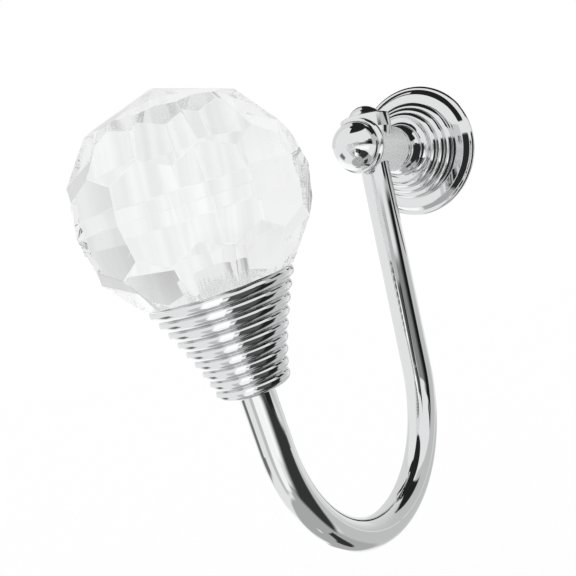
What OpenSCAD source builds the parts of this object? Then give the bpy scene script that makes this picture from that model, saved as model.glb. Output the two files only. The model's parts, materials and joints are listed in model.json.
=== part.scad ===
// Curtain holdback with a stepped wall rose, a bent bar, a ribbed cup and a faceted glass ball.
// The wall is the plane y = 0 and the holdback stands out from it along -Y, with +Z up.
// The origin is the centre of the rose's back face.

/* [Wall rose] */
// Diameter of the rose over its rolled rim
rose_d = 37.7; // [34:0.1:42]
// Radius of the rolled rim's section
rim_r = 0.85; // [0.6:0.05:1.2]
// Height of the flange where it meets the rim
flange_rim_h = 1; // [0.8:0.05:1.4]
// Radius at the foot of the stepped cone
cone_foot_r = 13.3; // [12:0.1:14.5]
// Height of the stepped cone's foot off the wall
cone_foot_h = 2.5; // [2:0.1:3.5]
// Radius at the top of the stepped cone
cone_top_r = 8.65; // [8:0.05:9.4]
// Height of the stepped cone's top off the wall
cone_top_h = 8.5; // [7.5:0.1:9.5]
// Number of rounded steps on the cone
step_count = 3; // [2:1:4]
// Radius of each rounded step's section
step_r = 1.35; // [1.2:0.05:1.6]
// Radius of the cove between the steps and the neck
cove_r = 1.8; // [1.2:0.1:2.2]
// Radius of the neck at its narrowest
waist_r = 5.6; // [5:0.1:6.2]
// Radius of the hollow curve that waists the neck
waist_curve_r = 5.25; // [4.5:0.05:7]
// Radius of the neck's front face
neck_front_r = 5.95; // [5.8:0.05:6.3]
// Wall thickness of the casting
rose_wall = 1.8; // [1.4:0.1:2.2]
// Radius of the boss inside the hollow back
rose_boss_r = 5.4; // [5:0.1:6.2]

/* [Hub] */
// Distance from the wall to the back of the hub
hub_back = 15.9; // [14:0.1:18]
// Length of the hub from its back to its front face
hub_l = 17.4; // [17.3:0.1:20]
// Radius of the hub's barrel
barrel_r = 6.3; // [6:0.05:6.4]
// Rounding of the barrel's back edge
barrel_round = 0.35; // [0.2:0.05:0.8]
// Radius over the bead round the hub's front
bead_outer_r = 7.5; // [7.3:0.05:7.8]
// Radius of the bead's section
bead_r = 1.1; // [0.9:0.05:1.2]
// Radius of the upright boss that holds the bar
eye_r = 6.8; // [6.4:0.1:7.4]
// Height of the boss's top above the hub's axis
eye_top = 8.2; // [7.4:0.1:10]
// Height above the hub's axis at which the boss starts to narrow
eye_foot_h = 4.2; // [3:0.1:5]
// Radius of the boss at the hub's axis
eye_foot_r = 5.8; // [5.5:0.05:5.9]
// Rounding of the boss's top edge
eye_round = 0.5; // [0.2:0.1:0.8]
// Thickness of the web between the bar's end and the boss's top
eye_web = 5.2; // [4:0.1:6]

/* [Front cap] */
// Radius of the domed cap
cap_r = 6.65; // [6.4:0.05:6.8]
// Radius of the cap's spigot
cap_spigot_r = 3.4; // [2.8:0.1:3.8]
// Length of the cap's spigot
cap_spigot_l = 1.5; // [1.2:0.1:1.8]

/* [Bar] */
// Diameter of the round bar
bar_d = 8; // [7:0.1:8.4]
// Distance from the wall to the bar's axis
bar_off = 26.3; // [25.8:0.1:27]
// Length of the straight leg below the hub's axis
far_leg_l = 60.5; // [40:0.5:90]
// Radius of the bend to the bar's axis
bend_r = 33.4; // [30:0.1:45]
// Outward lean of the near leg from upright, in degrees
lean = 12; // [0:0.5:25]
// Length of the straight leg from the bend to the cup
near_leg_l = 13.6; // [5:0.1:40]

/* [Screws and studs] */
// Diameter of the screw and of the studs
screw_d = 5; // [4:0.5:5]
// Length of the screw under its head
screw_l = 14; // [12:0.5:16]
// Radius of the screw's round head
head_r = 4.7; // [4.4:0.1:5.6]
// Height of the screw's round head
head_h = 3.2; // [2.4:0.1:3.6]
// Width of each slot of the cross recess
recess_w = 0.9; // [0.6:0.1:1.2]
// Length of each slot of the cross recess
recess_l = 4.4; // [3.6:0.1:5]
// Depth of the cross recess
recess_h = 1.7; // [1:0.1:2]
// Depth of each tapped hole in the bar's ends
bar_tap_l = 10.5; // [10:0.5:14]
// Length of the stud in the hub's back
hub_tap_l = 4.8; // [4:0.1:5]
// Diameter of the hole for the wall's fixing
wall_thread_d = 6; // [5:0.5:6]
// Depth of the hole for the wall's fixing
wall_thread_l = 8; // [6:0.5:9]

/* [Ribbed cup] */
// Number of ribs on the cup
rib_count = 9; // [6:1:12]
// Spacing of the ribs
rib_pitch = 2.48; // [2.2:0.02:2.8]
// Radius over the rib next to the ball
cup_top_r = 15.5; // [15:0.1:16.5]
// Radius over the rib next to the bar
cup_base_r = 8.1; // [7.8:0.1:9]
// Radius of each rib's section
rib_r = 1.34; // [1.26:0.02:1.5]
// Power that curves the cup's side into a bell
bell_power = 1.3; // [1:0.05:1.6]
// Depth of the bar's socket in the cup
cup_socket_l = 3; // [2:0.1:4]

/* [Glass ball] */
// Width of the ball between opposite girdle facets
ball_d = 47; // [46:0.5:52]
// Number of facets in each row
facet_count = 12; // [8:1:12]
// Slope of the girdle facets from upright, in degrees
girdle_slope = 11.3; // [9:0.1:13]
// Slope of the shoulder facets from upright, in degrees
shoulder_slope = 36.5; // [34:0.1:39]
// Slope of the crown facets from upright, in degrees
crown_slope = 70.6; // [68:0.1:74]
// Turn of the facets about the ball's axis, in degrees
facet_turn = 7.9; // [0:0.1:30]
// Distance from the ball's centre down to its flat base
ball_base = 17.6; // [17.2:0.1:18]
// Radius of the threaded bush in the ball
bush_r = 3.9; // [3.6:0.1:5.5]
// Length of the threaded bush
bush_l = 8; // [6:0.5:12]
// Room for glue past the end of the bush
glue_room = 0.8; // [0.4:0.1:1.5]

/* [Fits] */
// Radial clearance of the bar and the cap's spigot in their holes
slip_gap = 0.05; // [0.02:0.01:0.1]
// Radial clearance of the screw threads
thread_gap = 0.05; // [0.02:0.01:0.1]
// Radial clearance of a screw through a plain hole
pass_gap = 0.25; // [0.15:0.05:0.4]
// Gap past the end of each stud
end_gap = 0.3; // [0.2:0.1:0.6]

/* [Hidden] */
$fn = 96;
// Distance of the shoulder and crown facets from the ball's centre, against the girdle's
shoulder_share = 0.975;
crown_share = 0.94;
// Overrun of the cuts
over = 0.5;
// Angle by which the two halves of the bend overlap
bend_lap = 1;
rose_r = rose_d / 2;
bar_r = bar_d / 2;
screw_r = screw_d / 2;
tap_r = screw_r + thread_gap;
pass_r = screw_r + pass_gap;
wall_thread_r = wall_thread_d / 2;
neck_r = cone_top_r - cove_r;
neck_foot_h = cone_top_h + cove_r;
waist_h = hub_back - sqrt(waist_curve_r ^ 2 - (waist_r + waist_curve_r - neck_front_r) ^ 2);
hub_front = hub_back + hub_l;
bar_top = eye_top - eye_web;
cup_h = rib_count * rib_pitch;
girdle_off = ball_d / 2;
shoulder_off = girdle_off * shoulder_share;
crown_off = girdle_off * crown_share;
bend_sweep = (180 - lean) / 2 + bend_lap;

// Stands a piece turned about Z out from the wall along -Y.
module off_wall() {
    rotate([90, 0, 0]) children();
}

// Places a piece at the bar's upright axis.
module at_bar() {
    translate([0, -bar_off, 0]) children();
}

// Places a piece on the near leg, with its foot at the cup's base.
module at_cup() {
    translate([0, -bar_off - bend_r, -far_leg_l])
        rotate([lean, 0, 0])
            translate([0, -bend_r, near_leg_l])
                children();
}

// Half section of the rose's outside, from its axis out and its back face up.
module rose_outline() {
    polygon([
        [0, 0],
        [rose_r, 0],
        [rose_r, rim_r],
        [rose_r - rim_r * 2, flange_rim_h],
        [cone_foot_r, cone_foot_h],
        [cone_top_r, cone_top_h],
        [cone_top_r, neck_foot_h],
        [neck_r, neck_foot_h],
        [neck_r, hub_back],
        [0, hub_back]
    ]);
    translate([rose_r - rim_r, rim_r]) circle(rim_r);
    for (i = [0:step_count - 1]) {
        share = (i + 0.5) / step_count;
        translate([
            cone_foot_r + (cone_top_r - cone_foot_r) * share,
            cone_foot_h + (cone_top_h - cone_foot_h) * share
        ])
            circle(step_r);
    }
}

// Half section of the hollow in the rose's back.
module rose_hollow() {
    polygon([
        [rose_boss_r, -over],
        [rose_r - rim_r * 2 - rose_wall, -over],
        [rose_r - rim_r * 2 - rose_wall, 0],
        [cone_foot_r - rose_wall, cone_foot_h - rose_wall],
        [cone_top_r - rose_wall, cone_top_h - rose_wall],
        [rose_boss_r, cone_top_h - rose_wall]
    ]);
}

module wall_rose() {
    color("gainsboro")
        off_wall()
            difference() {
                rotate_extrude()
                    difference() {
                        rose_outline();
                        rose_hollow();
                        translate([cone_top_r, neck_foot_h]) circle(cove_r);
                        translate([waist_r + waist_curve_r, waist_h]) circle(waist_curve_r);
                    }
                translate([0, 0, -over]) cylinder(h = wall_thread_l + over, r = wall_thread_r);
                cylinder(h = hub_back + over, r = tap_r);
            }
}

module joining_stud() {
    color("silver")
        off_wall()
            translate([0, 0, wall_thread_l + end_gap])
                cylinder(h = hub_back + hub_tap_l - wall_thread_l - end_gap, r = screw_r);
}

// Half section of the hub's body, from its axis out and its back up.
module hub_outline() {
    polygon([
        [0, hub_back],
        [barrel_r - barrel_round, hub_back],
        [barrel_r, hub_back + barrel_round],
        [barrel_r, hub_front - bead_r],
        [bead_outer_r - bead_r, hub_front - bead_r],
        [bead_outer_r - bead_r, hub_front],
        [0, hub_front]
    ]);
    translate([barrel_r - barrel_round, hub_back + barrel_round]) circle(barrel_round);
    translate([bead_outer_r - bead_r, hub_front - bead_r]) circle(bead_r);
}

// Half section of the hub's upright boss, which narrows into the barrel.
module boss_outline() {
    polygon([
        [0, 0],
        [eye_foot_r, 0],
        [eye_r, eye_foot_h],
        [eye_r, eye_top - eye_round],
        [eye_r - eye_round, eye_top],
        [0, eye_top]
    ]);
    translate([eye_r - eye_round, eye_top - eye_round]) circle(eye_round);
}

module hub() {
    color("gainsboro")
        difference() {
            union() {
                off_wall() rotate_extrude() hub_outline();
                at_bar() rotate_extrude() boss_outline();
            }
            at_bar() {
                translate([0, 0, -barrel_r - over]) cylinder(h = bar_top + barrel_r + over, r = bar_r + slip_gap);
                cylinder(h = eye_top + over, r = pass_r);
            }
            off_wall() {
                translate([0, 0, hub_back - over]) cylinder(h = hub_tap_l + end_gap + over, r = tap_r);
                translate([0, 0, hub_front - cap_spigot_l - end_gap])
                    cylinder(h = cap_spigot_l + end_gap + over, r = cap_spigot_r + slip_gap);
            }
        }
}

module front_cap() {
    color("gainsboro")
        off_wall()
            translate([0, 0, hub_front])
                rotate_extrude() {
                    translate([0, -cap_spigot_l]) square([cap_spigot_r, cap_spigot_l]);
                    intersection() {
                        circle(cap_r);
                        square(cap_r);
                    }
                }
}

module rod_screw() {
    dome_r = (head_r ^ 2 + head_h ^ 2) / (head_h * 2);
    color("silver")
        at_bar()
            translate([0, 0, eye_top])
                difference() {
                    rotate_extrude() {
                        translate([0, -screw_l]) square([screw_r, screw_l]);
                        intersection() {
                            translate([0, head_h - dome_r]) circle(dome_r);
                            square([head_r, head_h]);
                        }
                    }
                    for (turn = [0, 90])
                        rotate([0, 0, turn])
                            translate([-recess_l / 2, -recess_w / 2, head_h - recess_h])
                                cube([recess_l, recess_w, recess_h + over]);
                }
}

// Straight leg that stands on the origin, with its half of the bend curling down towards -Y.
module leg_and_bend(leg_l) {
    cylinder(h = leg_l, r = bar_r);
    translate([0, -bend_r, 0])
        rotate([90, 0, -90])
            rotate([0, 0, 180])
                rotate_extrude(angle = bend_sweep)
                    translate([bend_r, 0]) circle(bar_r);
}

module hook_rod() {
    color("gainsboro")
        difference() {
            union() {
                at_bar() translate([0, 0, -far_leg_l]) leg_and_bend(far_leg_l + bar_top);
                at_cup() translate([0, 0, -near_leg_l]) mirror([0, 1, 0]) leg_and_bend(near_leg_l + cup_socket_l);
            }
            at_bar() translate([0, 0, bar_top - bar_tap_l]) cylinder(h = bar_tap_l + over, r = tap_r);
            at_cup() translate([0, 0, cup_socket_l - bar_tap_l]) cylinder(h = bar_tap_l + over, r = tap_r);
        }
}

// Radius over rib i, counted from the bar.
function rib_outer(i) = cup_base_r + (cup_top_r - cup_base_r) * (i / (rib_count - 1)) ^ bell_power;

// Half section of the cup's outside: a bell of rounded ribs.
module cup_outline() {
    ribs = [for (i = [0:rib_count - 1]) [rib_outer(i) - rib_r, (i + 0.5) * rib_pitch]];
    polygon(concat([[0, 0], [ribs[0].x, 0]], ribs, [[ribs[rib_count - 1].x, cup_h], [0, cup_h]]));
    intersection() {
        for (rib = ribs)
            translate(rib) circle(rib_r);
        square([cup_top_r, cup_h]);
    }
}

module ribbed_cup() {
    color("gainsboro")
        at_cup()
            difference() {
                rotate_extrude() cup_outline();
                translate([0, 0, -over]) cylinder(h = cup_socket_l + over, r = bar_r + slip_gap);
                cylinder(h = cup_h + over, r = pass_r);
            }
}

module ball_stud() {
    color("silver")
        at_cup()
            translate([0, 0, cup_socket_l - bar_tap_l + end_gap])
                cylinder(h = bar_tap_l - cup_socket_l - end_gap + cup_h + bush_l - end_gap, r = screw_r);
}

module ball_bush() {
    color("silver")
        at_cup()
            translate([0, 0, cup_h])
                difference() {
                    cylinder(h = bush_l, r = bush_r);
                    translate([0, 0, -over]) cylinder(h = bush_l + over * 2, r = tap_r);
                }
}

// Ring of facets about Z as a pyramid whose sides lie at one slope and distance.
module facet_row(slope, distance, offset_share) {
    pitch = 360 / facet_count;
    apex_h = distance / sin(slope);
    foot_r = (apex_h + ball_d) * tan(slope) / cos(pitch / 2);
    rotate([0, 0, facet_turn + (offset_share + 0.5) * pitch])
        translate([0, 0, -ball_d])
            cylinder(h = apex_h + ball_d, r1 = foot_r, r2 = 0, $fn = facet_count);
}

module crystal_ball() {
    color("aliceblue", 0.4)
        at_cup()
            translate([0, 0, cup_h])
                difference() {
                    translate([0, 0, ball_base])
                        intersection() {
                            facet_row(crown_slope, crown_off, 0.5);
                            facet_row(shoulder_slope, shoulder_off, 0);
                            facet_row(girdle_slope, girdle_off, 0.5);
                            mirror([0, 0, 1]) facet_row(girdle_slope, girdle_off, 0.5);
                            mirror([0, 0, 1]) facet_row(shoulder_slope, shoulder_off, 0);
                            translate([-ball_d, -ball_d, -ball_base]) cube(ball_d * 2);
                        }
                    translate([0, 0, -over]) cylinder(h = bush_l + glue_room + over, r = bush_r + slip_gap);
                }
}

wall_rose();
joining_stud();
hub();
front_cap();
rod_screw();
hook_rod();
ribbed_cup();
ball_stud();
ball_bush();
crystal_ball();
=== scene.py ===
"""Curtain holdback: a stepped rose, a bent bar, a ribbed cup and a faceted glass ball, in a white studio.

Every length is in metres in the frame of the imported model: the wall is the plane y = 0, the holdback stands
out from it along -Y, and +Z is up.
"""

import json
import logging
import math
from dataclasses import dataclass, replace
from enum import Enum

import bmesh
import bpy
import numpy as np
from mathutils import Matrix, Vector

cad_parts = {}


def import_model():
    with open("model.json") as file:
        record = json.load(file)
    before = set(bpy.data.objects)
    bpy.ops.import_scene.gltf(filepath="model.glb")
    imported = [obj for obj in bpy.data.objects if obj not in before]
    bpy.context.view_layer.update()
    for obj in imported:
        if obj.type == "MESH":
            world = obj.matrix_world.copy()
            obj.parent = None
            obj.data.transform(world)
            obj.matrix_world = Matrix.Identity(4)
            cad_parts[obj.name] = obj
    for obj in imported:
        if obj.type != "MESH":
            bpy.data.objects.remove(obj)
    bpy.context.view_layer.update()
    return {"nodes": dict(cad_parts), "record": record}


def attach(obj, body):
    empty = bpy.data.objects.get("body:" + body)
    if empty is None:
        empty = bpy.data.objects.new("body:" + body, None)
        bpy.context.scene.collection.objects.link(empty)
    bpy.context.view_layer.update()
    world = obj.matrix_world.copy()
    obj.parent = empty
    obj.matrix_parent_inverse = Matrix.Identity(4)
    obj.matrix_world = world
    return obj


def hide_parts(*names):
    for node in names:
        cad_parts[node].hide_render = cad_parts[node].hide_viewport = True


MM = 0.001
BODY = "root"
FRAME_PIXELS = 576
SENSOR_WIDTH = 36.0
WHITE = (1.0, 1.0, 1.0, 1.0)
BLACK = (0.0, 0.0, 0.0, 1.0)
POLE_MERGE = 0.0005 * MM
CARD_UV = "card"
CARD_SIDES = ("Left", "Right", "Bottom", "Top")
log = logging.getLogger("holdback")


class Slot(Enum):
    """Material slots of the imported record."""

    BRIGHT = "bright_plating"
    BAR = "bar_plating"
    SCREW = "screw_plating"
    STEEL = "plain_steel"
    BUSH = "bush_plating"
    GLASS = "clear_glass"


class Reach(Enum):
    """Spheres on which the studio's cards stand, as radius and centre.

    The room's goes round the whole holdback. The others reach only its hook, its rose or its cup.
    """

    ROOM = (2.0, (0.0, -60 * MM, -30 * MM))
    HOOK = (110 * MM, (0.0, -92 * MM, -60 * MM))
    ROSE = (42 * MM, (0.0, 10 * MM, 0.0))
    CUP = (50 * MM, (0.0, -95 * MM, -35 * MM))


# Node helpers


def add_node(tree: bpy.types.NodeTree, kind: str, **values: object) -> bpy.types.Node:
    """Adds a node and sets its plain properties.

    Args:
        tree: Tree that takes the node.
        kind: Blender's name of the node type.
        values: Properties to set on the node.

    Returns:
        The new node.
    """
    node = tree.nodes.new(kind)
    for key, value in values.items():
        setattr(node, key, value)
    return node


def new_group(name: str, inputs: tuple[str, ...], outputs: tuple[str, ...]) -> bpy.types.NodeTree:
    """Makes an empty shader node group with named number sockets.

    Args:
        name: Name of the group.
        inputs: Names of the inputs.
        outputs: Names of the outputs.

    Returns:
        The group, with its input and output nodes in place.
    """
    group = bpy.data.node_groups.new(name, "ShaderNodeTree")
    for key in inputs:
        group.interface.new_socket(key, in_out="INPUT", socket_type="NodeSocketFloat")
    for key in outputs:
        group.interface.new_socket(key, in_out="OUTPUT", socket_type="NodeSocketFloat")
    add_node(group, "NodeGroupInput", name="In")
    add_node(group, "NodeGroupOutput", name="Out")
    return group


def new_material(name: str) -> tuple[bpy.types.Material, bpy.types.NodeTree, bpy.types.Node]:
    """Makes a material with nodes.

    Args:
        name: Name of the material.

    Returns:
        The material, its node tree and its Principled shader.
    """
    material = bpy.data.materials.new(name)
    material.use_nodes = True
    return material, material.node_tree, material.node_tree.nodes["Principled BSDF"]


# Finishes


@dataclass(frozen=True)
class Polish:
    """Traces that polishing leaves: broad soft waves, fine wiping marks and a faint smear of handling."""

    wave_detail: float = 1.0
    mark_detail: float = 4.0
    smear_detail: float = 5.0
    smear_roughness: float = 0.6
    smear_to_wave: float = 1.7

    def build(self) -> bpy.types.NodeTree:
        """Builds the polish group.

        Height is the waves' noise plus a share of the marks' noise. Roughness is Low plus the smear's noise
        times Spread, so that a polished surface is a little duller in soft patches.

        Returns:
            The node group.
        """
        group = new_group(
            "polish", ("Wave Scale", "Mark Scale", "Mark Share", "Low", "Spread"), ("Height", "Roughness")
        )
        links, source, sink = group.links, group.nodes["In"], group.nodes["Out"]
        place = add_node(group, "ShaderNodeTexCoord")
        waves, marks, smear = (add_node(group, "ShaderNodeTexNoise") for _ in range(3))
        waves.inputs["Detail"].default_value = self.wave_detail
        marks.inputs["Detail"].default_value = self.mark_detail
        smear.inputs["Detail"].default_value = self.smear_detail
        smear.inputs["Roughness"].default_value = self.smear_roughness
        smear_scale = add_node(group, "ShaderNodeMath", operation="MULTIPLY")
        smear_scale.inputs[1].default_value = self.smear_to_wave
        share = add_node(group, "ShaderNodeMath", operation="MULTIPLY")
        total = add_node(group, "ShaderNodeMath", operation="ADD")
        spread = add_node(group, "ShaderNodeMath", operation="MULTIPLY")
        rough = add_node(group, "ShaderNodeMath", operation="ADD")
        for noise in (waves, marks, smear):
            links.new(place.outputs["Object"], noise.inputs["Vector"])
        links.new(source.outputs["Wave Scale"], waves.inputs["Scale"])
        links.new(source.outputs["Mark Scale"], marks.inputs["Scale"])
        links.new(source.outputs["Wave Scale"], smear_scale.inputs[0])
        links.new(smear_scale.outputs[0], smear.inputs["Scale"])
        links.new(marks.outputs["Fac"], share.inputs[0])
        links.new(source.outputs["Mark Share"], share.inputs[1])
        links.new(waves.outputs["Fac"], total.inputs[0])
        links.new(share.outputs[0], total.inputs[1])
        links.new(total.outputs[0], sink.inputs["Height"])
        links.new(smear.outputs["Fac"], spread.inputs[0])
        links.new(source.outputs["Spread"], spread.inputs[1])
        links.new(spread.outputs[0], rough.inputs[0])
        links.new(source.outputs["Low"], rough.inputs[1])
        links.new(rough.outputs[0], sink.inputs["Roughness"])
        return group


@dataclass(frozen=True)
class Surface:
    """How well a surface is polished: its dullness, and the scale and height of its waves and marks."""

    low_rough: float
    rough_spread: float
    wave_scale: float
    mark_scale: float
    mark_share: float
    bump_height: float

    def finish(
        self, tree: bpy.types.NodeTree, shader: bpy.types.Node, polish: bpy.types.NodeTree
    ) -> bpy.types.NodeSocket:
        """Links the polish group to a shader's roughness and, through a bump, to its normal.

        Args:
            tree: The material's node tree.
            shader: Its Principled shader.
            polish: The shared polish group.

        Returns:
            The group's roughness.
        """
        group = add_node(tree, "ShaderNodeGroup", node_tree=polish)
        group.inputs["Wave Scale"].default_value = self.wave_scale
        group.inputs["Mark Scale"].default_value = self.mark_scale
        group.inputs["Mark Share"].default_value = self.mark_share
        group.inputs["Low"].default_value = self.low_rough
        group.inputs["Spread"].default_value = self.rough_spread
        bump = add_node(tree, "ShaderNodeBump")
        bump.inputs["Strength"].default_value = 1.0
        bump.inputs["Distance"].default_value = self.bump_height
        tree.links.new(group.outputs["Roughness"], shader.inputs["Roughness"])
        tree.links.new(group.outputs["Height"], bump.inputs["Height"])
        tree.links.new(bump.outputs["Normal"], shader.inputs["Normal"])
        return group.outputs["Roughness"]


@dataclass(frozen=True)
class Satin:
    """Matt zone within a radius of the rose's axis, where a buffing wheel can't reach."""

    radius: float
    rough: float = 0.4
    metallic: float = 0.4
    fade: float = 0.25 * MM

    def finish(
        self, tree: bpy.types.NodeTree, shader: bpy.types.Node, polished: bpy.types.NodeSocket
    ) -> None:
        """Makes the zone duller and less metallic.

        The distance from the axis is the length of the place without its Y. From the radius to the radius
        plus the fade, the added roughness falls to 0 and the metallic value rises to 1.

        Args:
            tree: The material's node tree.
            shader: Its Principled shader.
            polished: Roughness of the polished surface, to which the zone's is added.
        """
        place = add_node(tree, "ShaderNodeTexCoord")
        across = add_node(tree, "ShaderNodeVectorMath", operation="MULTIPLY")
        across.inputs[1].default_value = (1.0, 0.0, 1.0)
        distance = add_node(tree, "ShaderNodeVectorMath", operation="LENGTH")
        rough = add_node(tree, "ShaderNodeMath", operation="ADD")
        tree.links.new(place.outputs["Object"], across.inputs[0])
        tree.links.new(across.outputs["Vector"], distance.inputs[0])
        for inner, outer, sink in (
            (self.rough, 0.0, rough.inputs[0]), (self.metallic, 1.0, shader.inputs["Metallic"]),
        ):
            ramp = add_node(tree, "ShaderNodeMapRange")
            ramp.inputs["From Min"].default_value = self.radius
            ramp.inputs["From Max"].default_value = self.radius + self.fade
            ramp.inputs["To Min"].default_value = inner
            ramp.inputs["To Max"].default_value = outer
            tree.links.new(distance.outputs["Value"], ramp.inputs["Value"])
            tree.links.new(ramp.outputs["Result"], sink)
        tree.links.new(polished, rough.inputs[1])
        tree.links.new(rough.outputs[0], shader.inputs["Roughness"])


@dataclass(frozen=True)
class MetalFinish:
    """A metal: its colour, its polish and, where it has one, its matt zone."""

    name: str
    color: tuple[float, float, float]
    surface: Surface
    satin: Satin | None = None

    def build(self, polish: bpy.types.NodeTree) -> bpy.types.Material:
        """Makes the material: a metallic surface whose roughness and bump come from the polish group.

        Args:
            polish: The shared polish group.

        Returns:
            The material.
        """
        material, tree, shader = new_material(self.name)
        shader.inputs["Metallic"].default_value = 1.0
        shader.inputs["Base Color"].default_value = (*self.color, 1.0)
        polished = self.surface.finish(tree, shader, polish)
        if self.satin is not None:
            self.satin.finish(tree, shader, polished)
        return material


@dataclass(frozen=True)
class GlassFinish:
    """Cut clear glass: its colour, its index of refraction and its polish."""

    name: str
    color: tuple[float, float, float]
    ior: float
    surface: Surface

    def build(self, polish: bpy.types.NodeTree) -> bpy.types.Material:
        """Makes the material: clear glass whose facets have a faint polishing wave.

        Args:
            polish: The shared polish group.

        Returns:
            The material.
        """
        material, tree, shader = new_material(self.name)
        shader.inputs["Metallic"].default_value = 0.0
        shader.inputs["Base Color"].default_value = (*self.color, 1.0)
        shader.inputs["Transmission Weight"].default_value = 1.0
        shader.inputs["IOR"].default_value = self.ior
        self.surface.finish(tree, shader, polish)
        return material


CHROME = MetalFinish("bright chrome", color=(0.745, 0.75, 0.755), surface=Surface(
    low_rough=0.012, rough_spread=0.03, wave_scale=110.0, mark_scale=1500.0, mark_share=0.02,
    bump_height=0.02 * MM,
))
HUB_CHROME = replace(
    CHROME, name="hub chrome", surface=replace(CHROME.surface, low_rough=0.015), satin=Satin(radius=6.45 * MM)
)
STEEL = MetalFinish("plain steel", color=(0.50, 0.50, 0.51), surface=Surface(
    low_rough=0.25, rough_spread=0.1, wave_scale=400.0, mark_scale=3000.0, mark_share=0.5,
    bump_height=0.02 * MM,
))
BUSH_PLATING = MetalFinish("bush plating", color=(0.86, 0.86, 0.87), surface=replace(
    STEEL.surface, low_rough=0.45,
))
SILVERING = MetalFinish("silvered seat", color=(0.96, 0.96, 0.96), surface=Surface(
    low_rough=0.08, rough_spread=0.1, wave_scale=300.0, mark_scale=1500.0, mark_share=0.3,
    bump_height=0.02 * MM,
))
CUT_GLASS = GlassFinish("cut glass", color=(0.985, 0.988, 0.99), ior=1.5, surface=Surface(
    low_rough=0.0, rough_spread=0.01, wave_scale=60.0, mark_scale=1400.0, mark_share=0.0,
    bump_height=0.004 * MM,
))


def dress(node: bpy.types.Object, material: bpy.types.Material) -> None:
    """Gives a CAD node its material, in its mesh's slots."""
    node.data.materials.clear()
    node.data.materials.append(material)


# Shape helpers


def grid_mesh(name: str, points: np.ndarray, closed_u: bool = False) -> bpy.types.Object:
    """Makes a mesh object from a grid of points, with a face between every four neighbours.

    Args:
        name: Name of the object.
        points: Array of rows by columns by 3.
        closed_u: Whether the last column joins the first.

    Returns:
        The object, linked to the scene.
    """
    rows, cols = points.shape[:2]
    index = np.arange(rows * cols).reshape(rows, cols)
    right = np.roll(index, -1, axis=1) if closed_u else index[:, 1:]
    left = index if closed_u else index[:, :-1]
    quads = np.stack([left[:-1], right[:-1], right[1:], left[1:]], axis=-1).reshape(-1, 4)
    mesh = bpy.data.meshes.new(name)
    mesh.from_pydata(points.reshape(-1, 3).tolist(), [], quads.tolist())
    mesh.polygons.foreach_set("use_smooth", np.ones(len(quads), dtype=bool))
    mesh.update()
    made = bpy.data.objects.new(name, mesh)
    bpy.context.scene.collection.objects.link(made)
    return made


def arc(centre: tuple[float, float], radius: float, start: float, end: float, steps: int) -> np.ndarray:
    """Points of a circle's arc.

    Each point is the centre plus the radius times the cosine and the sine of its angle, and the angles go
    evenly from start to end.

    Args:
        centre: Centre of the circle.
        radius: Its radius.
        start: First angle, in degrees.
        end: Last angle, in degrees.
        steps: Number of points.

    Returns:
        The points, one a row.
    """
    angle = np.radians(np.linspace(start, end, steps))
    return np.array(centre) + radius * np.stack([np.cos(angle), np.sin(angle)], axis=-1)


def softened(corners: np.ndarray, cut: float, steps: int) -> np.ndarray:
    """Rounds the inner corners of an open line.

    Each corner becomes a quadratic curve, whose ends lie the cut's length from the corner towards its two
    neighbours and whose middle control point is the corner.

    Args:
        corners: Points of the line, one a row.
        cut: Length taken off each side of a corner.
        steps: Points on each curve.

    Returns:
        Points of the rounded line, with its two ends kept.
    """
    sides = np.diff(corners, axis=0)
    sides /= np.linalg.norm(sides, axis=1, keepdims=True)
    inner = corners[1:-1, None, :]
    before, after = inner - cut * sides[:-1, None, :], inner + cut * sides[1:, None, :]
    t = np.linspace(0.0, 1.0, steps)[None, :, None]
    curves = (1 - t) ** 2 * before + 2 * t * (1 - t) * inner + t**2 * after
    return np.vstack([corners[:1], curves.reshape(-1, 2), corners[-1:]])


def turned(name: str, section: np.ndarray, segments: int, sharp_angle: float) -> bpy.types.Object:
    """Turns a half section about the rose's axis.

    A point of the section goes all the way round: X is its radius times the angle's cosine, Z is its radius
    times the angle's sine, and Y is minus its distance from the wall.

    Args:
        name: Name of the object.
        section: Points of radius and distance from the wall, one a row, as a loop or from axis to axis.
        segments: Number of angles.
        sharp_angle: Angle in degrees above which an edge stays sharp.

    Returns:
        The closed piece.
    """
    angle = np.linspace(0.0, math.tau, segments, endpoint=False)[None, :]
    radius, height = section[:, :1], np.repeat(section[:, 1:], segments, axis=1)
    points = np.stack([radius * np.cos(angle), -height, radius * np.sin(angle)], axis=-1)
    piece = grid_mesh(name, points, closed_u=True)
    shape = bmesh.new()
    shape.from_mesh(piece.data)
    bmesh.ops.remove_doubles(shape, verts=shape.verts, dist=POLE_MERGE)
    bmesh.ops.recalc_face_normals(shape, faces=shape.faces)
    shape.to_mesh(piece.data)
    shape.free()
    piece.data.set_sharp_from_angle(angle=math.radians(sharp_angle))
    return piece


# Pieces


@dataclass(frozen=True)
class CupPlace:
    """Place of the cup and the ball on the bar's leaning leg, as in the CAD model."""

    bar_off: float = 26.3 * MM
    bend_r: float = 33.4 * MM
    far_leg: float = 60.5 * MM
    near_leg: float = 13.6 * MM
    lean: float = 12.0
    cup_height: float = 22.32 * MM

    def leaned(self, vector: tuple[float, float, float]) -> Vector:
        """A vector turned by the leg's lean."""
        return Matrix.Rotation(math.radians(self.lean), 3, "X") @ Vector(vector)

    def base(self) -> Vector:
        """Centre of the ball's flat base: the bend's centre plus the leaned way out to the leg and up it."""
        centre = Vector((0.0, -self.bar_off - self.bend_r, -self.far_leg))
        return centre + self.leaned((0.0, -self.bend_r, self.near_leg + self.cup_height))

    def axis(self) -> Vector:
        """Unit vector up the cup's axis."""
        return self.leaned((0.0, 0.0, 1.0))


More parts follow.
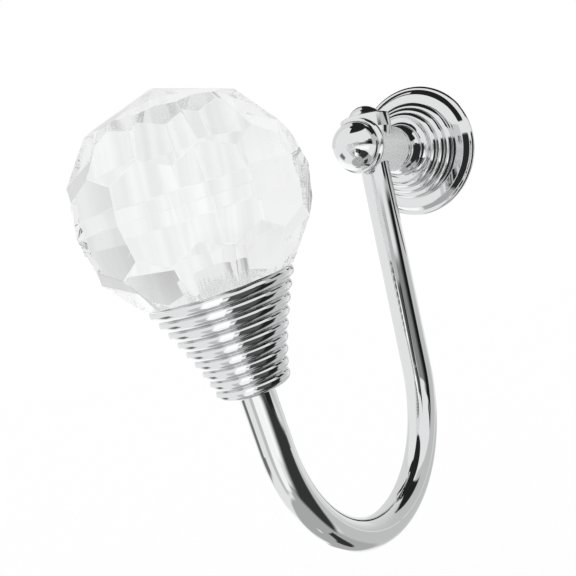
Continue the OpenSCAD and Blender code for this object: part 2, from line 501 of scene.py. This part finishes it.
@dataclass
class Rose:
    """The stepped wall rose, turned as one piece, with a flange whose shoulder falls to a flat outer ring."""

    radius: float = 18.84 * MM
    ring_height: float = 0.95 * MM
    ring_radius: float = 17.65 * MM
    flange_radius: float = 16.55 * MM
    flange_height: float = 2.5 * MM
    edge_height: float = 0.35 * MM
    cut: float = 0.22 * MM
    step_radius: float = 1.35 * MM
    step_centres: tuple[tuple[float, float], ...] = (
        (12.525 * MM, 3.5 * MM), (10.975 * MM, 5.5 * MM), (9.425 * MM, 7.5 * MM),
    )
    step_angles: tuple[tuple[float, float], ...] = ((-47.8, 107.4), (-31.8, 107.4), (-31.8, 79.0))
    cove_centre: tuple[float, float] = (8.65 * MM, 10.3 * MM)
    cove_radius: float = 1.8 * MM
    cove_angles: tuple[float, float] = (-55.0, -180.0)
    waist_centre: tuple[float, float] = (10.85 * MM, 14.016 * MM)
    waist_radius: float = 5.25 * MM
    waist_angles: tuple[float, float] = (-139.7, -201.0)
    front: tuple[float, float] = (5.95 * MM, 15.9 * MM)
    tap_radius: float = 2.55 * MM
    thread_radius: float = 3.0 * MM
    thread_length: float = 8.0 * MM
    hollow: tuple[tuple[float, float], ...] = (
        (5.4 * MM, 0.0), (5.4 * MM, 6.7 * MM), (6.85 * MM, 6.7 * MM), (11.5 * MM, 0.7 * MM),
        (15.35 * MM, 0.0),
    )
    steps: int = 18
    segments: int = 192
    sharp_angle: float = 35.0

    def section(self) -> np.ndarray:
        """Half section of the rose.

        The loop runs from the rim over the outer ring, the shoulder and the flange, along the three steps'
        arcs, the cove's and the waist's to the front, back through the bore and round the hollow to the rim.

        Returns:
            Points of radius and distance from the wall, one a row.
        """
        foot_radius = self.step_centres[0][0] + self.step_radius
        rim = np.array([
            (self.radius, 0.0), (self.radius, self.ring_height - self.edge_height),
            (self.radius - self.edge_height, self.ring_height), (self.ring_radius, self.ring_height),
            (self.flange_radius, self.flange_height), (foot_radius, self.flange_height),
        ])
        rings = [
            arc(centre, self.step_radius, *angles, self.steps)
            for centre, angles in zip(self.step_centres, self.step_angles)
        ]
        bore = np.array([
            self.front, (self.tap_radius, self.front[1]), (self.tap_radius, self.thread_length),
            (self.thread_radius, self.thread_length), (self.thread_radius, 0.0), *self.hollow,
            (self.radius, 0.0),
        ])
        return np.vstack([
            softened(rim, self.cut, self.steps)[:-1], *rings,
            arc(self.cove_centre, self.cove_radius, *self.cove_angles, self.steps),
            arc(self.waist_centre, self.waist_radius, *self.waist_angles, self.steps), bore,
        ])

    def build(self, node: bpy.types.Object, material: bpy.types.Material) -> bpy.types.Object:
        """Makes the rose in the place of its CAD node.

        Args:
            node: The CAD node of the rose.
            material: Its plating.

        Returns:
            The rose.
        """
        rose = turned("stepped_rose", self.section(), self.segments, self.sharp_angle)
        rose.data.materials.append(material)
        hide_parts(node.name)
        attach(rose, BODY)
        return rose


@dataclass
class Cap:
    """The domed cap on the hub's front, with its spigot, fine enough for an even mirror."""

    radius: float = 6.65 * MM
    face: float = 33.3 * MM
    spigot_radius: float = 3.4 * MM
    spigot_length: float = 1.5 * MM
    steps: int = 64
    segments: int = 160
    sharp_angle: float = 35.0

    def build(self, node: bpy.types.Object, material: bpy.types.Material) -> bpy.types.Object:
        """Makes the cap in the place of its CAD node.

        Args:
            node: The CAD node of the cap.
            material: Its plating.

        Returns:
            The cap.
        """
        back = self.face - self.spigot_length
        section = np.vstack([
            arc((0.0, self.face), self.radius, 90.0, 0.0, self.steps),
            [(self.spigot_radius, self.face), (self.spigot_radius, back), (0.0, back)],
        ])
        cap = turned("domed_cap", section, self.segments, self.sharp_angle)
        cap.data.materials.append(material)
        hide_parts(node.name)
        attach(cap, BODY)
        return cap


@dataclass
class CutBall:
    """The glass ball with its facets' edges taken off by a fine chamfer, its seat and bore silvered."""

    place: CupPlace
    chamfer: float = 0.12 * MM
    chamfer_angle: float = 9.0
    flat_angle: float = 0.5
    merge: float = 0.001 * MM
    seat_gap: float = 0.03 * MM
    bore_radius: float = 4.1 * MM

    def placed(self, points: np.ndarray) -> tuple[np.ndarray, np.ndarray]:
        """Measures points against the ball's base.

        The way from the base's centre to a point has a part along the cup's axis, which is the height, and a
        part square to the axis, whose length is the radius.

        Args:
            points: The points, one a row.

        Returns:
            Their heights above the base and their radii from the cup's axis.
        """
        up = np.array(self.place.axis())
        away = points - np.array(self.place.base())
        height = away @ up
        return height, np.linalg.norm(away - np.outer(height, up), axis=1)

    def lift_seat(self, mesh: bpy.types.Mesh) -> None:
        """Lifts the base by the seat gap, so that glass and metal don't share a plane.

        Args:
            mesh: Mesh of the ball.
        """
        points = np.zeros(len(mesh.vertices) * 3)
        mesh.vertices.foreach_get("co", points)
        points = points.reshape(-1, 3)
        height, _ = self.placed(points)
        points[height < self.seat_gap] += self.seat_gap * np.array(self.place.axis())
        mesh.vertices.foreach_set("co", points.ravel())
        mesh.update()

    def silvered(self, mesh: bpy.types.Mesh) -> np.ndarray:
        """Finds the faces of the seat and the bore.

        Their centres lie within the bore's radius of the cup's axis, or less than the seat gap plus half the
        chamfer above the base.

        Args:
            mesh: Mesh of the ball.

        Returns:
            Array that is true for each of these faces.
        """
        centres = np.zeros(len(mesh.polygons) * 3)
        mesh.polygons.foreach_get("center", centres)
        height, radius = self.placed(centres.reshape(-1, 3))
        return (radius < self.bore_radius) | (height < self.seat_gap + self.chamfer / 2)

    def build(
        self, node: bpy.types.Object, clear: bpy.types.Material, silver: bpy.types.Material
    ) -> bpy.types.Object:
        """Makes the ball from a merged copy of the CAD node's mesh.

        The copy's flat triangles are joined into whole facets, and a bevel cuts a flat on every edge sharper
        than the chamfer angle.

        Args:
            node: The CAD node of the ball.
            clear: Material of the facets.
            silver: Material of the seat and the bore.

        Returns:
            The ball, in the CAD node's place.
        """
        shape = bmesh.new()
        shape.from_mesh(node.data)
        bmesh.ops.remove_doubles(shape, verts=shape.verts, dist=self.merge)
        bmesh.ops.dissolve_limit(
            shape, angle_limit=math.radians(self.flat_angle), verts=shape.verts, edges=shape.edges
        )
        mesh = bpy.data.meshes.new("cut_ball")
        shape.to_mesh(mesh)
        shape.free()
        self.lift_seat(mesh)
        mesh.materials.append(clear)
        mesh.materials.append(silver)
        silvered = self.silvered(mesh)
        mesh.polygons.foreach_set("use_smooth", np.zeros(len(silvered), dtype=bool))
        mesh.polygons.foreach_set("material_index", silvered.astype(np.int32))
        ball = bpy.data.objects.new("cut_ball", mesh)
        bpy.context.scene.collection.objects.link(ball)
        bevel = ball.modifiers.new("chamfer", "BEVEL")
        bevel.width = self.chamfer
        bevel.segments = 1
        bevel.limit_method = "ANGLE"
        bevel.angle_limit = math.radians(self.chamfer_angle)
        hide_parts(node.name)
        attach(ball, BODY)
        return ball


# Studio


@dataclass(frozen=True)
class Camera:
    """Camera fitted to the picture's outlines."""

    azimuth: float = 35.782
    elevation: float = -2.432
    roll: float = 11.535
    distance: float = 209.93 * MM
    target: tuple[float, float, float] = (-9.676 * MM, -63.430 * MM, -34.066 * MM)
    focal_pixels: float = 867.85
    clip_start: float = 5 * MM
    clip_end: float = 50.0

    def build(self) -> bpy.types.Object:
        """Makes the camera and sets it as the scene's.

        The view axis runs from the camera to the target, and the picture is turned about it by the roll.

        Returns:
            The camera object.
        """
        az, el, roll = (math.radians(v) for v in (self.azimuth, self.elevation, self.roll))
        back = Vector((math.sin(az) * math.cos(el), -math.cos(az) * math.cos(el), math.sin(el)))
        level_right = (-back).cross(Vector((0, 0, 1))).normalized()
        level_down = (-back).cross(level_right)
        right = level_right * math.cos(roll) + level_down * math.sin(roll)
        down = level_down * math.cos(roll) - level_right * math.sin(roll)
        data = bpy.data.cameras.new("Camera")
        data.sensor_width = SENSOR_WIDTH
        data.lens = self.focal_pixels / FRAME_PIXELS * SENSOR_WIDTH
        data.clip_start, data.clip_end = self.clip_start, self.clip_end
        camera = bpy.data.objects.new("Camera", data)
        bpy.context.scene.collection.objects.link(camera)
        turn = Matrix((right, -down, back)).transposed()
        place = Vector(self.target) + back * self.distance
        camera.matrix_world = Matrix.Translation(place) @ turn.to_4x4()
        bpy.context.scene.camera = camera
        return camera


def direction(azimuth: np.ndarray, elevation: np.ndarray) -> np.ndarray:
    """Unit vectors of directions.

    X is the azimuth's sine and Y is minus its cosine, both times the elevation's cosine, and Z is the
    elevation's sine. Azimuth 0 is then -Y, and azimuth 90 is +X.

    Args:
        azimuth: Angles about Z, in degrees.
        elevation: Angles above the horizon, in degrees.

    Returns:
        Array with one vector for each pair of angles.
    """
    az, el = np.radians(azimuth), np.radians(elevation)
    return np.stack([np.sin(az) * np.cos(el), -np.cos(az) * np.cos(el), np.sin(el)], axis=-1)


def card_group() -> bpy.types.NodeTree:
    """Builds the card mask group: 1 over the card, falling smoothly to 0 within a share of each side.

    Each side's ramp is a smooth step from 0 at the side to 1 at its share of the width in, and the mask is
    the product of the four ramps. The card's own UV map runs from 0 to 1 across it and up it.

    Returns:
        The node group.
    """
    group = new_group("card_mask", CARD_SIDES, ("Mask",))
    links, source, sink = group.links, group.nodes["In"], group.nodes["Out"]
    split = add_node(group, "ShaderNodeSeparateXYZ")
    links.new(add_node(group, "ShaderNodeUVMap", uv_map=CARD_UV).outputs["UV"], split.inputs[0])
    mask = None
    for axis, sides in (("X", CARD_SIDES[:2]), ("Y", CARD_SIDES[2:])):
        away = add_node(group, "ShaderNodeMath", operation="SUBTRACT")
        away.inputs[0].default_value = 1.0
        links.new(split.outputs[axis], away.inputs[1])
        for side, measure in zip(sides, (split.outputs[axis], away.outputs[0])):
            ramp = add_node(group, "ShaderNodeMapRange", interpolation_type="SMOOTHSTEP")
            links.new(measure, ramp.inputs["Value"])
            links.new(source.outputs[side], ramp.inputs["From Max"])
            if mask is None:
                mask = ramp.outputs["Result"]
                continue
            both = add_node(group, "ShaderNodeMath", operation="MULTIPLY")
            links.new(mask, both.inputs[0])
            links.new(ramp.outputs["Result"], both.inputs[1])
            mask = both.outputs[0]
    links.new(mask, sink.inputs["Mask"])
    return group


@dataclass(frozen=True)
class Card:
    """Curved studio card round the holdback, seen only in reflections and through the glass.

    The card spans two azimuths and two elevations, in degrees. Feather is how far it fades in from its low
    and high azimuth and from its low and high elevation, in degrees. Metal reflects its level, and through
    the glass it shows its clear level. A card that isn't in the room is seen from inside its sphere only.
    Streaks is how much upright soft streaks dim it. A card that the metal doesn't see shows through the glass
    alone, and one that the glass doesn't see shows in reflections alone.
    """

    name: str
    azimuths: tuple[float, float]
    elevations: tuple[float, float]
    level: float
    feather: tuple[float, float, float, float] = (3.0, 3.0, 3.0, 3.0)
    clear_level: float = 0.85
    reach: Reach = Reach.ROOM
    metal_sees: bool = True
    glass_sees: bool = True
    streaks: float = 0.0
    streak_scale: tuple[float, float, float] = (60.0, 1.2, 1.0)
    streak_detail: float = 3.0
    streak_tones: tuple[float, float] = (0.35, 0.65)
    least_feather: float = 0.01
    least_points: int = 3

    def spans(self) -> tuple[float, float]:
        """Width and height of the card in degrees."""
        return self.azimuths[1] - self.azimuths[0], self.elevations[1] - self.elevations[0]

    def sheet(self, degrees_per_step: float, shrink: float) -> bpy.types.Object:
        """Makes the card's mesh.

        Its points are the sphere's centre plus the radius times the directions of a grid of angles.

        Args:
            degrees_per_step: Widest spacing of the grid.
            shrink: Share of the sphere's radius.

        Returns:
            The card object, with its UV map.
        """
        radius, centre = self.reach.value
        cols, rows = (
            max(self.least_points, math.ceil(span / degrees_per_step) + 1) for span in self.spans()
        )
        az, el = np.meshgrid(np.linspace(*self.azimuths, cols), np.linspace(*self.elevations, rows))
        card = grid_mesh(self.name, np.array(centre) + radius * shrink * direction(az, el))
        uv = card.data.uv_layers.new(name=CARD_UV)
        loop_vertex = np.zeros(len(card.data.loops), dtype=np.int32)
        card.data.loops.foreach_get("vertex_index", loop_vertex)
        across, up = loop_vertex % cols / (cols - 1.0), loop_vertex // cols / (rows - 1.0)
        uv.data.foreach_set("uv", np.stack([across, up], axis=-1).ravel())
        return card

    def streaked(self, tree: bpy.types.NodeTree, level: bpy.types.NodeSocket) -> bpy.types.NodeSocket:
        """Dims the card's level in upright streaks.

        The level is multiplied by a ramp from 1 less the streaks' share to 1, over a noise that is stretched
        up the card.

        Args:
            tree: The card's node tree.
            level: The card's level.

        Returns:
            The dimmed level.
        """
        place = add_node(tree, "ShaderNodeMapping")
        place.inputs["Scale"].default_value = self.streak_scale
        noise = add_node(tree, "ShaderNodeTexNoise")
        noise.inputs["Scale"].default_value = 1.0
        noise.inputs["Detail"].default_value = self.streak_detail
        dim = add_node(tree, "ShaderNodeMapRange")
        dim.inputs["From Min"].default_value, dim.inputs["From Max"].default_value = self.streak_tones
        dim.inputs["To Min"].default_value = 1.0 - self.streaks
        dimmed = add_node(tree, "ShaderNodeMath", operation="MULTIPLY")
        uv = add_node(tree, "ShaderNodeUVMap", uv_map=CARD_UV)
        tree.links.new(uv.outputs["UV"], place.inputs["Vector"])
        tree.links.new(place.outputs["Vector"], noise.inputs["Vector"])
        tree.links.new(noise.outputs["Fac"], dim.inputs["Value"])
        tree.links.new(level, dimmed.inputs[0])
        tree.links.new(dim.outputs["Result"], dimmed.inputs[1])
        return dimmed.outputs[0]

    def glow(self, mask: bpy.types.NodeTree) -> bpy.types.Material:
        """Makes the card's material: a glow at its level or its clear level, with the mask as its alpha.

        Args:
            mask: The shared card mask group.

        Returns:
            The material.
        """
        material, tree, shader = new_material(self.name)
        shader.inputs["Base Color"].default_value = BLACK
        shader.inputs["Specular IOR Level"].default_value = 0.0
        shader.inputs["Emission Color"].default_value = WHITE
        path = add_node(tree, "ShaderNodeLightPath")
        choice = add_node(tree, "ShaderNodeMapRange")
        choice.inputs["To Min"].default_value = self.level
        choice.inputs["To Max"].default_value = self.clear_level
        tree.links.new(path.outputs["Is Transmission Ray"], choice.inputs["Value"])
        level = choice.outputs["Result"]
        if self.streaks > 0:
            level = self.streaked(tree, level)
        tree.links.new(level, shader.inputs["Emission Strength"])
        group = add_node(tree, "ShaderNodeGroup", node_tree=mask)
        for side, degrees, span in zip(CARD_SIDES, self.feather, np.repeat(self.spans(), 2)):
            group.inputs[side].default_value = max(degrees, self.least_feather) / span
        alpha = group.outputs["Mask"]
        if self.reach is not Reach.ROOM:
            face = add_node(tree, "ShaderNodeNewGeometry")
            inside = add_node(tree, "ShaderNodeMath", operation="MULTIPLY")
            tree.links.new(alpha, inside.inputs[0])
            tree.links.new(face.outputs["Backfacing"], inside.inputs[1])
            alpha = inside.outputs[0]
        tree.links.new(alpha, shader.inputs["Alpha"])
        return material

    def build(self, mask: bpy.types.NodeTree, degrees_per_step: float, shrink: float) -> bpy.types.Object:
        """Makes the card as part of its sphere, with a fading side wherever it has a feather.

        Args:
            mask: The shared card mask group.
            degrees_per_step: Widest spacing of its points.
            shrink: Share of its sphere's radius at which it stands.

        Returns:
            The card object.
        """
        card = self.sheet(degrees_per_step, shrink)
        card.data.materials.append(self.glow(mask))
        card.visible_camera = card.visible_diffuse = card.visible_shadow = False
        card.visible_glossy, card.visible_transmission = self.metal_sees, self.glass_sees
        return card


# From the farthest card to the nearest. After its name a card has its azimuths, its elevations, its level,
# its feather, its clear level and its reach.
CARDS = (
    Card("clear_room", (-180, 180), (-89.9, 89.9), 0.0, (0, 0, 0, 0), 0.9, metal_sees=False),
    Card("left_white", (-160, -108), (-10, 50), 1.25, (12, 16, 6, 8), 0.97),
    Card("crown_grey", (-206, -84), (10, 80), 0.86, (10, 10, 5, 6), glass_sees=False),
    Card("left_low_white", (-146, -84), (-58, -8), 1.25, (8, 12, 6, 4), 0.95),
    Card("front_grey", (4, 44), (-8, 9), 0.6, (12, 6, 3, 3)),
    Card("front_low_grey", (-22, 12), (-58, -8), 0.66, (10, 6, 4, 4), 0.8),
    Card("side_dim", (36, 84), (-8, 4), 0.3, (6, 6, 2, 2)),
    Card("right_grey", (104, 178), (-10, 50), 0.66, (4, 36, 4, 6)),
    Card("right_low_grey", (124, 204), (-60, -8), 0.66, (8, 20, 6, 4), 0.82),
    Card("floor_grey", (-180, 180), (-89, -58), 0.5, (0, 0, 3, 4)),
    Card("floor_grey_right", (20, 236), (-80, -44), 0.5, (8, 8, 6, 5)),
    Card("strip_low", (4, 92), (-33, -12), 1.25, (3, 5, 4, 4), 0.95),
    Card("side_black_level", (60, 110), (-8, 9), 0.012, (26, 6, 2, 2), 0.8),
    Card("side_black_high", (84, 108), (8, 14), 0.012, (5, 5, 1, 2), 0.8),
    Card("left_low_flag", (-84, -50), (-36, -10), 0.2, (12, 8, 5, 6), 0.7),
    Card("flag_right", (116, 154), (24, 58), 0.02, (4, 6, 4, 0), 0.7),
    Card("flag_low", (116, 190), (-77, -60), 0.04, (3, 3, 3, 3), 0.75),
    Card("flag_top", (-3, 213), (53, 89), 0.022, (2, 5, 3, 0), 0.8),
    Card("flag_zenith", (-180, 180), (79, 89.9), 0.022, (0, 0, 3, 0), 0.8),
    Card("clear_left", (128, 208), (-46, 60), 0.0, (10, 14, 10, 10), 0.66, metal_sees=False, streaks=0.08),
    Card("clear_left_high", (146, 204), (10, 62), 0.0, (6, 8, 6, 8), 0.52, metal_sees=False, streaks=0.12),
    Card("clear_back", (-178, -104), (-36, 40), 0.0, (12, 10, 8, 8), 0.96, metal_sees=False, streaks=0.14),
    Card("hook_dark", (44, 134), (-62, -8), 0.045, (30, 8, 8, 4), 0.8, Reach.HOOK),
    Card("hook_white", (2, 38), (-60, -8), 1.2, (5, 4, 4, 4), 1.0, Reach.HOOK),
    Card("rose_black", (-68, 200), (38, 88), 0.02, (4, 4, 2, 0), 0.92, Reach.ROSE),
    Card("rose_black_right", (52, 118), (20, 40), 0.02, (4, 6, 2, 0), 0.92, Reach.ROSE),
    Card("rose_side", (36, 84), (-60, 7), 0.03, (5, 5, 6, 3), 0.92, Reach.ROSE),
    Card("cup_dim", (42, 92), (-46, 2), 0.1, (3, 6, 6, 6), 0.92, Reach.CUP),
    Card("cup_dark", (80, 119), (-46, 2), 0.02, (8, 8, 6, 6), 0.92, Reach.CUP),
    Card("cup_white", (8, 36), (-34, 16), 1.35, (8, 3, 8, 8), 1.0, Reach.CUP),
)


@dataclass(frozen=True)
class Studio:
    """White surround, pale floor and the cards that the metal and the glass show."""

    floor_height: float = -160 * MM
    floor_size: float = 12.0
    floor_color: tuple[float, float, float] = (0.996, 0.996, 0.996)
    floor_roughness: float = 0.9
    world_level: float = 1.0
    glass_bounces: int = 32
    degrees_per_step: float = 3.0
    spacing: float = 0.003
    cards: tuple[Card, ...] = CARDS

    def light(self) -> None:
        """Sets the view transform, the light's bounces, which cut glass needs, and the white world."""
        scene = bpy.context.scene
        scene.view_settings.view_transform = "Standard"
        scene.cycles.max_bounces = scene.cycles.transmission_bounces = self.glass_bounces
        scene.cycles.glossy_bounces = scene.cycles.diffuse_bounces = self.glass_bounces
        world = bpy.data.worlds.new("White studio")
        world.use_nodes = True
        background = world.node_tree.nodes["Background"]
        background.inputs["Color"].default_value = WHITE
        background.inputs["Strength"].default_value = self.world_level
        scene.world = world

    def lay_floor(self) -> None:
        """Lays a flat square of pale matt paper under the holdback."""
        half = self.floor_size / 2
        x, y = np.meshgrid((-half, half), (-half, half))
        floor = grid_mesh("floor", np.stack([x, y, np.full_like(x, self.floor_height)], axis=-1))
        paper, _, shader = new_material("floor paper")
        shader.inputs["Base Color"].default_value = (*self.floor_color, 1.0)
        shader.inputs["Roughness"].default_value = self.floor_roughness
        shader.inputs["Specular IOR Level"].default_value = 0.0
        floor.data.materials.append(paper)
        floor.visible_glossy = floor.visible_transmission = False

    def build(self) -> None:
        """Makes the world, the floor and the cards, each card a little nearer than the one before."""
        self.light()
        self.lay_floor()
        mask = card_group()
        for order, card in enumerate(self.cards):
            card.build(mask, self.degrees_per_step, 1 - order * self.spacing)
            log.info("card %s", card.name)


def main() -> None:
    """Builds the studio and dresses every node."""
    logging.basicConfig(level=logging.INFO, format="%(name)s: %(message)s")
    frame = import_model()
    nodes = frame["nodes"]
    Camera().build()
    Studio().build()
    polish = Polish().build()
    chrome, hub_chrome, steel, plating, silver, glass = (
        finish.build(polish) for finish in (CHROME, HUB_CHROME, STEEL, BUSH_PLATING, SILVERING, CUT_GLASS)
    )
    finishes = {
        Slot.BRIGHT.value: chrome, Slot.BAR.value: chrome, Slot.SCREW.value: chrome,
        Slot.STEEL.value: steel, Slot.BUSH.value: plating, Slot.GLASS.value: glass,
    }
    slots = {row["node"]: row["material_slot"] for row in frame["record"]["subparts"]}
    for name, node in nodes.items():
        dress(node, finishes[slots[name]])
        log.info("node %s", name)
    dress(nodes["hub"], hub_chrome)
    for piece in (
        Rose().build(nodes["wall_rose"], chrome),
        Cap().build(nodes["front_cap"], chrome),
        CutBall(CupPlace()).build(nodes["crystal_ball"], glass, silver),
    ):
        log.info("piece %s", piece.name)


if __name__ == "__main__":
    main()
